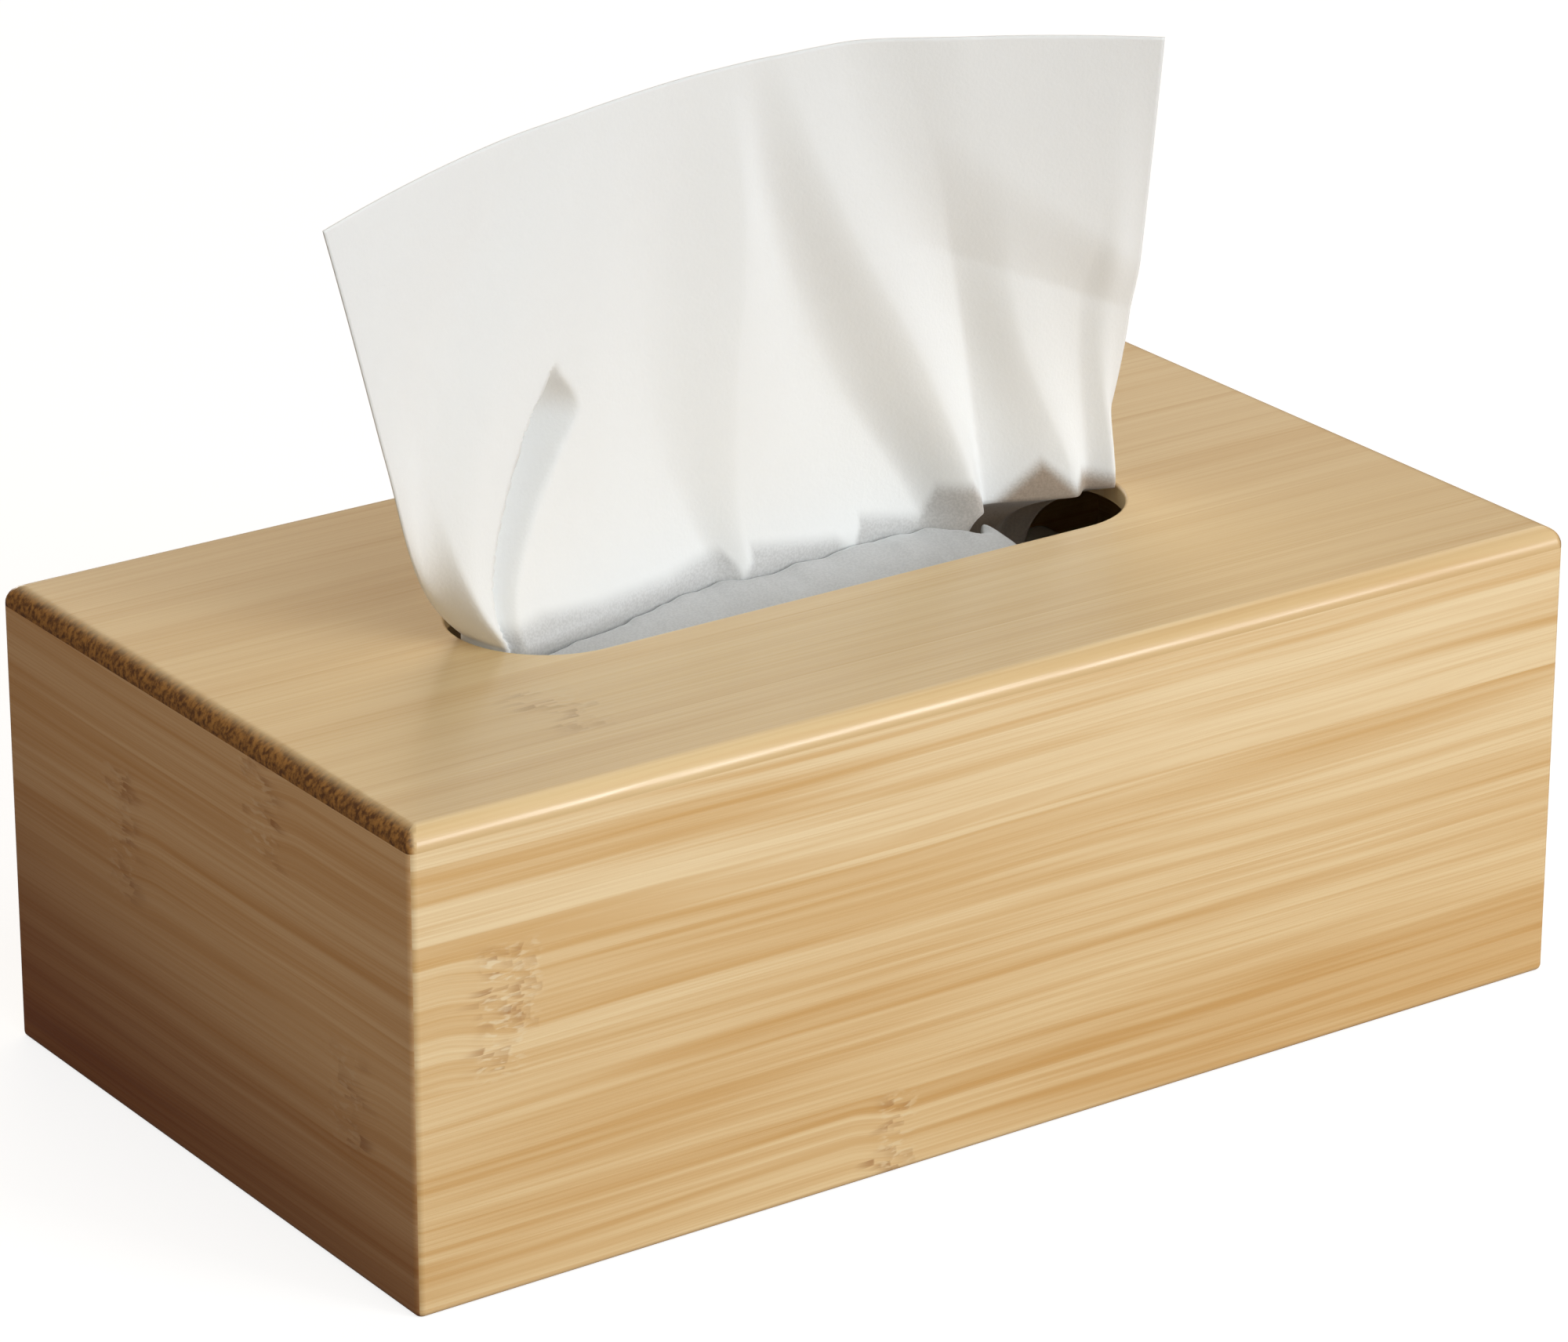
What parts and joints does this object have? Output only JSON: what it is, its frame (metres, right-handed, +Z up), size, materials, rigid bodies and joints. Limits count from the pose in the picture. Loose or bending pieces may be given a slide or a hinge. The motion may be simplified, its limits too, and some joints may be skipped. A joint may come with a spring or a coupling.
{
  "type": "tissue box",
  "caption": "Bamboo box with a long round-ended slot in its top, a pack of folded tissues inside, a tissue standing out of the slot, and a base that slides out at the right end.",
  "frame": {"origin": "middle of the box's foot print, on the surface it stands on", "axes": "+X along the box's length to the end where the base slides out, +Y to its back, +Z up"},
  "size_m": [0.252, 0.139, 0.1853],
  "materials": {
    "bamboo": "satin lacquer over long straight grain",
    "tissue": "soft matt paper"
  },
  "bodies": {
    "box": {"top_panel": "bamboo", "front_wall": "bamboo", "back_wall": "bamboo", "left_wall": "bamboo", "right_wall": "bamboo", "tissue_stack": "tissue", "next_tissue": "tissue", "pulled_tissue": "tissue"},
    "base": {"base_panel": "bamboo"}
  },
  "joints": [
    {"name": "base_slide", "type": "slide", "parent": "box", "child": "base", "axis": [1, 0, 0], "range_m": [0, 0.23]}
  ]
}
